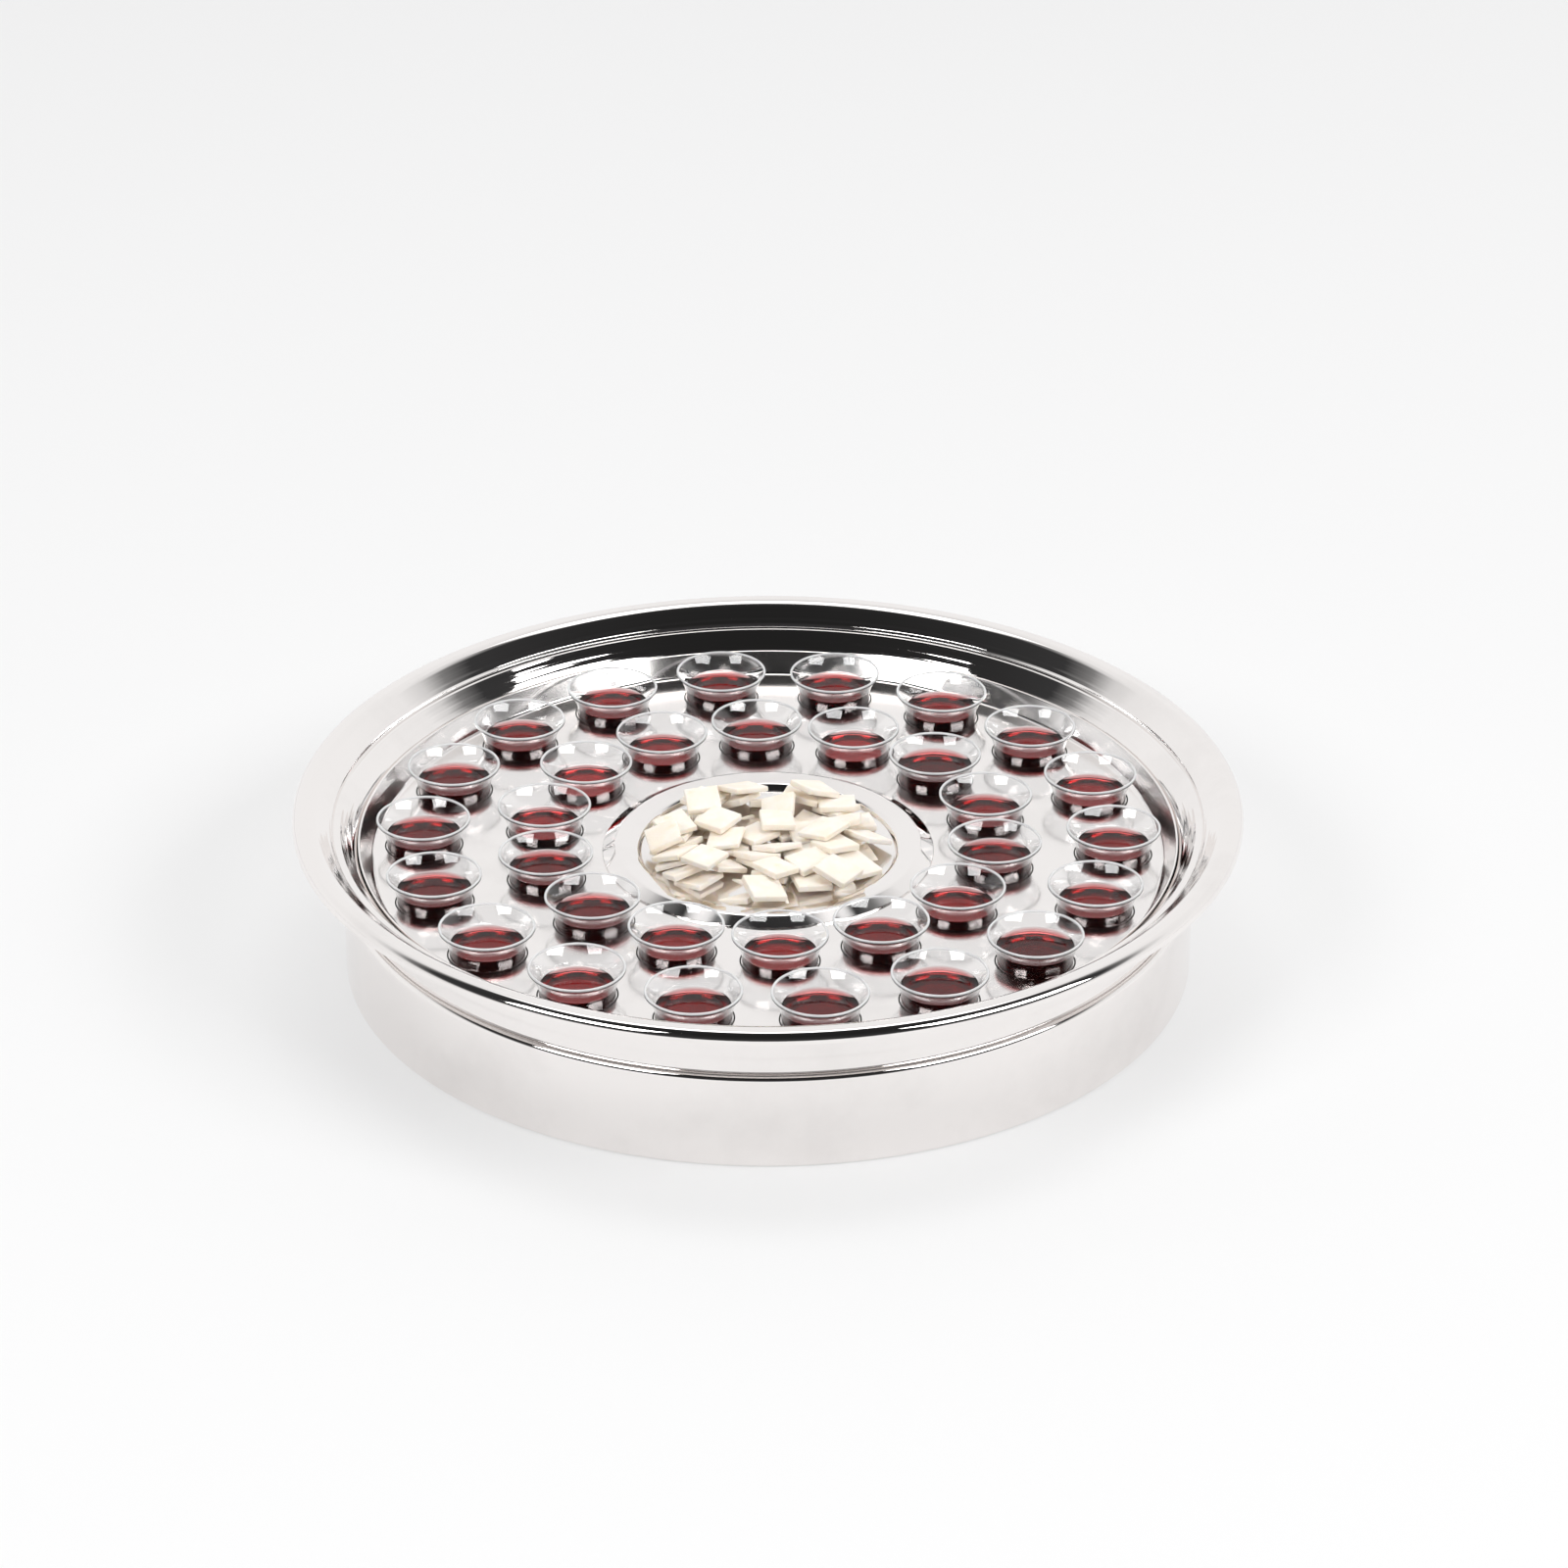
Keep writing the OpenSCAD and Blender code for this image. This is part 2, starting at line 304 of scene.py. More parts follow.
@dataclass(frozen=True)
class ClearPlastic(Finish):
    """Clear moulded plastic with a trace of flow marks and a whitish painted highlight on the lip.
    Lengths are in metres.
    """

    name: str = "moulded_clear_plastic"
    tint: Colour = (0.985, 0.99, 0.995)
    index: float = 1.5
    roughness: float = 0.015
    ripple_grain: Grain = Grain(160.0, 2.0)
    ripple_rough: float = 0.02
    ripple_strength: float = 0.25
    ripple_depth: float = 6.0e-5
    lip_from: float = 0.0470
    lip_fade: float = 0.0004
    # The lip's whitish matt look is a painted highlight for the light that the rim bead catches,
    # not the plastic's colour.
    lip_highlight_share: float = 0.7
    lip_highlight_colour: Colour = (0.95, 0.95, 0.96)
    lip_rough: float = 0.22

    def paint(self, graph: Graph) -> None:
        """Full transmission with a slow ripple; from the height lip_from up a whitish matt shader
        is mixed in as a painted highlight on the lip.

        Args:
            graph: The empty tree.
        """
        place = graph.place()
        ripple = graph.noise(place, self.ripple_grain)
        clear = {
            "Base Color": self.tint,
            "Roughness": self.roughness + ripple * self.ripple_rough,
            "IOR": self.index,
            "Transmission Weight": 1.0,
            "Normal": graph.bump(ripple, self.ripple_strength, self.ripple_depth),
        }
        # Painted highlight: a whitish matt shader on the lip stands in for the light that the rim
        # bead catches.
        white = {"Base Color": self.lip_highlight_colour, "Roughness": self.lip_rough}
        high = graph.axes(place)[2].ramp(self.lip_from, self.lip_from + self.lip_fade)
        body, lip = (graph.value("BsdfPrincipled", look) for look in (clear, white))
        both = graph.value("MixShader", {0: high * self.lip_highlight_share, 1: body, 2: lip})
        graph.node("OutputMaterial", {"Surface": both})


@dataclass(frozen=True)
class RedJuice(Finish):
    """Dark red juice: clear red where it is thin, near black in its depth."""

    name: str = "dark_red_juice"
    surface: Colour = (1.0, 1.0, 1.0)
    through: Colour = (0.86, 0.32, 0.32)
    density: float = 1350.0
    index: float = 1.34
    roughness: float = 0.01
    ripple_grain: Grain = Grain(90.0, 2.0)
    ripple_rough: float = 0.01
    ripple_strength: float = 0.1
    ripple_depth: float = 1.0e-4

    def paint(self, graph: Graph) -> None:
        """Full transmission with absorption through the depth, and a faint ripple on the surface.

        Args:
            graph: The empty tree.
        """
        ripple = graph.noise(graph.place(), self.ripple_grain)
        surface = {
            "Base Color": self.surface,
            "Roughness": self.roughness + ripple * self.ripple_rough,
            "IOR": self.index,
            "Transmission Weight": 1.0,
            "Normal": graph.bump(ripple, self.ripple_strength, self.ripple_depth),
        }
        depth = graph.value("VolumeAbsorption", {"Color": self.through, "Density": self.density})
        shader = graph.value("BsdfPrincipled", surface)
        graph.node("OutputMaterial", {"Surface": shader, "Volume": depth})


@dataclass(frozen=True)
class FlatBread(Finish):
    """Pale unleavened bread: floury crumb with pores, and baked patches. Lengths are in metres."""

    name: str = "unleavened_bread"
    crumb: Colour = (0.955, 0.86, 0.74)
    floury: Colour = (0.965, 0.905, 0.84)
    baked: Colour = (0.90, 0.74, 0.48)
    flour_grain: Grain = Grain(130.0, 4.0, span=(0.38, 0.66))
    patch_grain: Grain = Grain(210.0, 3.0, span=(0.62, 0.84))
    patch_share: float = 0.55
    roughness: float = 0.72
    pore_grain: Grain = Grain(1500.0, 4.0, 0.65)
    pore_rough: float = 0.2
    pore_strength: float = 0.45
    pore_depth: float = 3.0e-4
    specular: float = 0.25
    glow: float = 0.25
    glow_radius: Colour = (1.0, 0.7, 0.4)
    glow_scale: float = 0.0015

    def paint(self, graph: Graph) -> None:
        """Crumb goes to flour by a slow noise and to baked by a rare one; pores make the bump.

        Args:
            graph: The empty tree.
        """
        place = graph.place()
        flour = graph.noise(place, self.flour_grain)
        patches = graph.noise(place, self.patch_grain)
        pores = graph.noise(place, self.pore_grain)
        base = graph.blend(flour, self.crumb, self.floury)
        bread = {
            "Base Color": graph.blend(patches * self.patch_share, base, self.baked),
            "Roughness": self.roughness + pores * self.pore_rough,
            "Specular IOR Level": self.specular,
            "Subsurface Weight": self.glow,
            "Subsurface Radius": self.glow_radius,
            "Subsurface Scale": self.glow_scale,
            "Normal": graph.bump(pores, self.pore_strength, self.pore_depth),
        }
        graph.node("OutputMaterial", {"Surface": graph.value("BsdfPrincipled", bread)})


@dataclass(frozen=True)
class WhiteFloor(Finish):
    """Plain pale sweep that the tray stands on."""

    name: str = "white_floor"
    paper: Colour = (0.87, 0.87, 0.872)
    mottle_grain: Grain = Grain(1.5, 2.0)
    mottle_shade: float = 0.985
    roughness: float = 0.9
    specular: float = 0.1
    seen: Colour = (0.925, 0.925, 0.925)
    share: float = 0.5

    def paint(self, graph: Graph) -> None:
        """Matt white paper that keeps the shadow, mixed with a plain white.

        Only rays that show the floor, straight, mirrored or through glass, see the plain white.

        Args:
            graph: The empty tree.
        """
        mottle = graph.noise(graph.place(), self.mottle_grain)
        shaded = tuple(self.mottle_shade * part for part in self.paper)
        paper = {
            "Base Color": graph.blend(mottle, self.paper, shaded),
            "Roughness": self.roughness,
            "Specular IOR Level": self.specular,
        }
        plain = graph.value("Emission", {"Color": self.seen, "Strength": 1.0})
        rays = graph.node("LightPath").outputs
        camera, glossy, through = (
            Value(graph, rays[f"Is {kind} Ray"]) for kind in ("Camera", "Glossy", "Transmission")
        )
        share = (camera + glossy + through).clip(0.0, 1.0) * self.share
        matt = graph.value("BsdfPrincipled", paper)
        both = graph.value("MixShader", {0: share, 1: matt, 2: plain})
        graph.node("OutputMaterial", {"Surface": both})


# Shape building


def rounded(corners: Sequence[Corner], steps: int = 10) -> np.ndarray:
    """A path whose corners are replaced by arcs, shored up along its long straights.

    An arc of radius r at a corner of half angle h starts r / tan(h) before the corner, about a
    centre r / sin(h) along the bisector.

    Args:
        corners: (radius, height, bend radius) of each corner, in millimetres.
        steps: Segments in an arc.

    Returns:
        The path as an (n, 2) array.
    """
    table = np.asarray(corners, dtype=float)
    runs: list[np.ndarray] = []
    for index, (here, bend) in enumerate(zip(table[:, :2], table[:, 2])):
        if bend == 0.0 or index in (0, len(table) - 1):
            runs.append(here[None])
            continue
        back = table[index - 1, :2] - here
        on = table[index + 1, :2] - here
        back, on = back / np.linalg.norm(back), on / np.linalg.norm(on)
        half = math.acos(float(np.clip(back @ on, -1.0, 1.0))) / 2.0
        centre = here + (back + on) / np.linalg.norm(back + on) * bend / math.sin(half)
        first = here + back * bend / math.tan(half) - centre
        turn = (math.pi - 2.0 * half) * math.copysign(1.0, on[0] * back[1] - on[1] * back[0])
        angle = math.atan2(first[1], first[0]) + turn * np.linspace(0.0, 1.0, steps + 1)
        runs.append(centre + bend * np.stack([np.cos(angle), np.sin(angle)], axis=1))
    return shored(runs)


def shored(runs: Sequence[np.ndarray], inset: float = 0.12, least: float = 0.72) -> np.ndarray:
    """Runs of points as one, with two more points near the ends of each long straight between.

    They keep smooth shading from bending the flats.

    Args:
        runs: Arrays of (radius, height) points, in order.
        inset: Distance of the new points from the ends of a straight.
        least: Length that a straight has to exceed.

    Returns:
        All points in order.
    """
    made = [runs[0]]
    for run, following in zip(runs, runs[1:]):
        gap = following[0] - run[-1]
        length = float(np.linalg.norm(gap))
        if length > least:
            share = np.array([[inset / length], [1.0 - inset / length]])
            made.append(run[-1] + gap[None] * share)
        made.append(following)
    return np.concatenate(made)


def moved_left(corners: Sequence[Corner], sheet: float, least: float = 0.12) -> list[Corner]:
    """The corners of the other face of a sheet, on the left of the path.

    Each corner moves along its mitre. A bend grows by the sheet where the path turns right, and
    shrinks by it where the path turns left.

    Args:
        corners: (radius, height, bend radius) of each corner of the face on the right.
        sheet: Thickness.
        least: Smallest bend radius of a corner that was bent.

    Returns:
        The moved corners.
    """
    table = np.asarray(corners, dtype=float)
    along = np.diff(table[:, :2], axis=0)
    along /= np.linalg.norm(along, axis=1, keepdims=True)
    before = np.concatenate([along[:1], along])
    after = np.concatenate([along, along[-1:]])
    side = np.stack([-(before + after)[:, 1], (before + after)[:, 0]], axis=1)
    side /= np.linalg.norm(side, axis=1, keepdims=True)
    reach = sheet / (side[:, 1] * after[:, 0] - side[:, 0] * after[:, 1])
    turn = before[:, 0] * after[:, 1] - before[:, 1] * after[:, 0]
    grown = np.maximum(table[:, 2] - np.sign(turn) * sheet, least)
    bend = np.where(table[:, 2] == 0.0, 0.0, grown)
    moved = table[:, :2] + side * reach[:, None]
    return [tuple(row) for row in np.column_stack([moved, bend]).tolist()]


def sheet_outline(corners: Sequence[Corner], sheet: float) -> np.ndarray:
    """Outline of a sheet: its face on the right of the path, then its other face back."""
    return np.concatenate([rounded(corners), rounded(moved_left(corners, sheet))[::-1]])


def around(segments: int) -> np.ndarray:
    """Angles of equal steps once round, from 0."""
    return np.linspace(0.0, FULL_TURN, segments, endpoint=False)


def circle(radius: float, segments: int, centre: Pair = (0.0, 0.0)) -> np.ndarray:
    """Points of a circle, from +X round to the left."""
    x, y = np.cos(around(segments)), np.sin(around(segments))
    return np.stack([centre[0] + radius * x, centre[1] + radius * y], axis=1)


def starts(parts: Sequence[Sequence]) -> list[int]:
    """Index of each part's first item where the parts are joined end to end."""
    return np.cumsum([0] + [len(part) for part in parts[:-1]]).tolist()


def lattice(rows: int, columns: int, wrap_rows: bool, wrap_columns: bool) -> np.ndarray:
    """Quads of a grid of points numbered row by row, joined end to end where it wraps.

    Args:
        rows: Rows of points.
        columns: Points in a row.
        wrap_rows: Whether the last row joins the first.
        wrap_columns: Whether the end of a row joins its start.

    Returns:
        Four point numbers of each quad.
    """
    row = np.arange(rows if wrap_rows else rows - 1)[:, None]
    column = np.arange(columns if wrap_columns else columns - 1)[None, :]
    below, right = (row + 1) % rows, (column + 1) % columns
    quad = [(row, column), (row, right), (below, right), (below, column)]
    return np.stack([down * columns + over for down, over in quad], axis=2).reshape(-1, 4)


@dataclass
class Shell:
    """Points in millimetres and the faces on them, gathered from whole arrays."""

    points: np.ndarray
    faces: list[list[int]]

    @staticmethod
    def turned(
        outline: np.ndarray, segments: int, closed: bool, centre: Pair = (0.0, 0.0)
    ) -> "Shell":
        """An outline carried round an upright axis: x = r cos a, y = r sin a, z = h.

        Args:
            outline: (radius, height) points.
            segments: Steps round the axis.
            closed: Whether the last point joins the first.
            centre: Place of the axis.

        Returns:
            The turned surface.
        """
        angle = around(segments)
        radius, height = outline[:, 0, None], outline[:, 1, None]
        x, y = centre[0] + radius * np.cos(angle), centre[1] + radius * np.sin(angle)
        points = np.stack(np.broadcast_arrays(x, y, height), axis=2).reshape(-1, 3)
        return Shell(points, lattice(len(outline), segments, closed, True).tolist())

    def joined(self, *others: "Shell") -> "Shell":
        """This shell and others as one.

        Args:
            others: The other shells.

        Returns:
            All their points and faces.
        """
        shells = (self, *others)
        points = [shell.points for shell in shells]
        faces = [
            [start + corner for corner in face]
            for start, shell in zip(starts(points), shells)
            for face in shell.faces
        ]
        return Shell(np.concatenate(points), faces)

    def piece(self, name: str, finish: Finish, crease: float = 35.0) -> bpy.types.Object:
        """Writes the shell as an object at the origin, its doubles merged and its faces outwards.

        Args:
            name: The piece's name.
            finish: Its finish.
            crease: Angle in degrees above which an edge stays sharp.

        Returns:
            The object, linked to the scene.
        """
        mesh = bpy.data.meshes.new(name)
        mesh.from_pydata((self.points * MM).tolist(), [], self.faces)
        work = bmesh.new()
        work.from_mesh(mesh)
        bmesh.ops.remove_doubles(work, verts=work.verts, dist=MERGE_M)
        bmesh.ops.recalc_face_normals(work, faces=work.faces)
        work.to_mesh(mesh)
        work.free()
        mesh.polygons.foreach_set("use_smooth", np.ones(len(mesh.polygons), dtype=bool))
        mesh.set_sharp_from_angle(angle=math.radians(crease))
        mesh.materials.append(finish.material())
        made = bpy.data.objects.new(name, mesh)
        bpy.context.scene.collection.objects.link(made)
        return made


def plate(loops: Sequence[np.ndarray], height: float, close: float = 1.0e-6) -> Shell:
    """A flat plate at a height, inside the first loop and outside the others.

    Args:
        loops: Arrays of (x, y) points.
        height: Its height.
        close: Distance at which two points count as one.

    Returns:
        The plate as a Delaunay net between the loops.
    """
    points = [Vector(point) for point in np.concatenate(loops).tolist()]
    edges = [
        start + np.stack([np.arange(len(loop)), np.roll(np.arange(len(loop)), -1)], axis=1)
        for start, loop in zip(starts(loops), loops)
    ]
    flat, _, faces, *_ = delaunay_2d_cdt(
        points, np.concatenate(edges).tolist(), [], NET_WITH_HOLES, close
    )
    level = np.array([(point.x, point.y, height) for point in flat])
    return Shell(level, [list(face) for face in faces])


def dress(piece: bpy.types.Object, body: str, slot: str | None, *nodes: str) -> None:
    """Puts a piece on its body, hides the CAD nodes that it replaces, and logs its face count.

    Args:
        piece: The piece.
        body: The CAD body that it moves with.
        slot: Not used.
        nodes: The CAD nodes that it replaces.
    """
    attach(piece, body)
    if nodes:
        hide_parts(*nodes)
    LOG.info("%s rides %s: %d faces", piece.name, body, len(piece.data.polygons))


# Sub-assemblies, with sizes in millimetres


class Ring(Enum):
    """The two rings of cups: node prefix, count, ring radius, turn from the back in degrees."""

    OUTER = ("outer", 18, 114.423, 8.2)
    INNER = ("inner", 14, 75.723, 2.9)

    def places(self) -> list[tuple[str, float, float]]:
        """Where the ring's cups stand, clockwise from the back.

        Returns:
            Node name, X and Y of each cup.
        """
        prefix, count, radius, turn = self.value
        angle = np.radians(90.0 + turn - 360.0 / count * np.arange(count))
        return [
            (f"{prefix}_cup_{index + 1:02d}", float(radius * np.cos(a)), float(radius * np.sin(a)))
            for index, a in enumerate(angle)
        ]


@dataclass
class Tray:
    """Base drum and pan: two spun sheets, nested under the stacking ledge."""

    steel: Finish
    sheet: float = SHEET
    edge_r: float = 156.897
    top_z: float = 57.0
    lip_bend: float = 3.0
    lip_z: float = 53.5
    crest_r: float = 150.397
    crest_bend: float = 7.0
    stop_run: float = 0.5
    stop_h: float = 1.2
    stop_bend: float = 0.6
    recess_r: float = 143.497
    recess_bend: float = 0.35
    ledge_z: float = 50.2
    ledge_bend: float = 0.6
    cone_top_r: float = 141.397
    cone_foot_r: float = 136.397
    cone_foot_z: float = 44.6
    cone_bend: float = 0.8
    seat_r: float = 132.003
    seat_z: float = 36.6
    seat_bend: float = 0.5
    wall_r: float = 128.528
    wall_draft: float = 0.4
    wall_bend: float = 1.0
    floor_z: float = PAN_FLOOR_Z
    floor_bend: float = 1.6
    drum_r: float = 140.997
    foot_w: float = 7.0
    foot_bend: float = 1.6
    step_z: float = 32.81
    shoulder_bend: float = 2.2
    band_r: float = 138.597
    band_foot_bend: float = 0.25
    band_top_z: float = 43.91
    band_bend: float = 1.0
    mouth_r: float = 142.606
    mouth_bend: float = 0.5
    segments: int = 384

    def pan_path(self) -> list[Corner]:
        """The pan's upper face, from the flange's lip to the middle of the floor.

        Returns:
            Its corners.
        """
        return [
            (self.edge_r, self.lip_z, 0.0),
            (self.edge_r, self.top_z, self.lip_bend),
            (self.crest_r, self.top_z, self.crest_bend),
            (self.recess_r + self.stop_run, self.ledge_z + self.stop_h, self.stop_bend),
            (self.recess_r, self.ledge_z, self.recess_bend),
            (self.cone_top_r, self.ledge_z, self.ledge_bend),
            (self.cone_foot_r, self.cone_foot_z, self.cone_bend),
            (self.seat_r, self.seat_z, self.seat_bend),
            (self.wall_r, self.seat_z, self.wall_bend),
            (self.wall_r - self.wall_draft, self.floor_z, self.floor_bend),
            (0.0, self.floor_z, 0.0),
        ]

    def drum_path(self) -> list[Corner]:
        """The drum's outer face, from its turned-in foot to the mouth under the ledge.

        Returns:
            Its corners.
        """
        mouth_z = self.ledge_z - 2.0 * self.sheet
        return [
            (self.drum_r - self.foot_w, 0.0, 0.0),
            (self.drum_r, 0.0, self.foot_bend),
            (self.drum_r, self.step_z, self.shoulder_bend),
            (self.band_r, self.step_z, self.band_foot_bend),
            (self.band_r, self.band_top_z, self.band_bend),
            (self.mouth_r, mouth_z, self.mouth_bend),
            (self.recess_r, mouth_z, 0.0),
        ]

    def build(self) -> None:
        """Makes both sheets: the pan's ends meet the axis, and the drum's outline closes."""
        pan = Shell.turned(sheet_outline(self.pan_path(), self.sheet), self.segments, False)
        dress(pan.piece("pan_sheet", self.steel), "tray", "polished_steel", "tray_pan")
        drum = Shell.turned(sheet_outline(self.drum_path(), self.sheet), self.segments, True)
        dress(drum.piece("drum_sheet", self.steel), "tray", "polished_steel", "base_drum")


@dataclass
class CupDisc:
    """Perforated disc with a turned-up rim."""

    steel: Finish
    sheet: float = SHEET
    top_z: float = DISC_TOP_Z
    flat_r: float = 131.128
    flat_bend: float = 1.6
    rim_r: float = 135.028
    rim_z: float = 44.6
    rim_bend: float = 0.3
    lip_w: float = 0.6
    plate_r: float = 128.0
    hole_r: float = 12.33
    middle_r: float = 44.0
    edge_bend: float = 0.22
    edge_steps: int = 5
    margin: float = 0.7
    segments: int = 384
    hole_segments: int = 72
    middle_segments: int = 160

    def rim(self) -> Shell:
        """The turned-up rim, and the plate's margin on both faces.

        Returns:
            The rim, open where the plate begins.
        """
        path = [
            (self.rim_r + self.lip_w, self.rim_z, 0.0),
            (self.rim_r, self.rim_z, self.rim_bend),
            (self.flat_r, self.top_z, self.flat_bend),
            (self.plate_r, self.top_z, 0.0),
        ]
        under = rounded(moved_left(path, self.sheet))
        under[-1, 0] = self.plate_r
        return Shell.turned(np.concatenate([under[::-1], rounded(path)]), self.segments, False)

    def hole(self, radius: float, segments: int, centre: Pair) -> Shell:
        """A punched edge: flat margin, rounded corner, bore, rounded corner, flat margin.

        Args:
            radius: Radius of the bore.
            segments: Steps round it.
            centre: Its place.

        Returns:
            The edge, open where the plate begins.
        """
        low = self.top_z - self.sheet
        path = [
            (radius + self.margin, self.top_z, 0.0),
            (radius, self.top_z, self.edge_bend),
            (radius, low, self.edge_bend),
            (radius + self.margin, low, 0.0),
        ]
        return Shell.turned(rounded(path, self.edge_steps), segments, False, centre)

    def build(self) -> None:
        """Joins rim, hole edges and the two flat faces into one closed sheet."""
        spots = [(x, y) for ring in Ring for _, x, y in ring.places()]
        holes = [(self.middle_r, self.middle_segments, (0.0, 0.0))]
        holes += [(self.hole_r, self.hole_segments, spot) for spot in spots]
        loops = [circle(self.plate_r, self.segments)]
        loops += [circle(radius + self.margin, count, spot) for radius, count, spot in holes]
        edges = [self.hole(*hole) for hole in holes]
        faces = [plate(loops, self.top_z), plate(loops, self.top_z - self.sheet)]
        whole = self.rim().joined(*edges, *faces)
        dress(whole.piece("disc_sheet", self.steel), "disc", "polished_steel", "cup_disc")


@dataclass
class BreadBowl:
    """Shallow dish with a wide crested flange that stands on the disc by its outer edge."""

    steel: Finish
    sheet: float = SHEET
    edge_r: float = 55.0
    edge_h: float = 0.5
    edge_bend: float = 0.25
    crest_r: float = 50.2
    crest_bend: float = 2.5
    foot_z: float = DISC_TOP_Z
    top_z: float = 40.4
    mouth_r: float = 43.2
    mouth_z: float = 39.2
    mouth_bend: float = 2.5
    floor_r: float = 34.5
    floor_z: float = 25.8
    floor_bend: float = 5.0
    bread_gap: float = 1.6
    segments: int = 240

    def path(self) -> list[Corner]:
        """The bowl's upper face, from its outer edge to the middle of its floor.

        Returns:
            Its corners.
        """
        return [
            (self.edge_r, self.foot_z, 0.0),
            (self.edge_r, self.foot_z + self.edge_h, self.edge_bend),
            (self.crest_r, self.top_z, self.crest_bend),
            (self.mouth_r, self.mouth_z, self.mouth_bend),
            (self.floor_r, self.floor_z, self.floor_bend),
            (0.0, self.floor_z, 0.0),
        ]

    def build(self) -> None:
        """Makes the bowl."""
        shell = Shell.turned(sheet_outline(self.path(), self.sheet), self.segments, False)
        dress(shell.piece("bowl_sheet", self.steel), "bowl", "polished_steel", "bread_bowl")

    def inside(self, radius: np.ndarray) -> np.ndarray:
        """Height that bread lies on: the wall's line, drawn in by a gap, between floor and top.

        Args:
            radius: Distances from the axis.

        Returns:
            The height at each distance.
        """
        slope = (self.mouth_z - self.floor_z) / (self.mouth_r - self.floor_r)
        wall = self.floor_z + slope * (radius - self.floor_r + self.bread_gap)
        return np.clip(wall, self.floor_z, self.top_z)


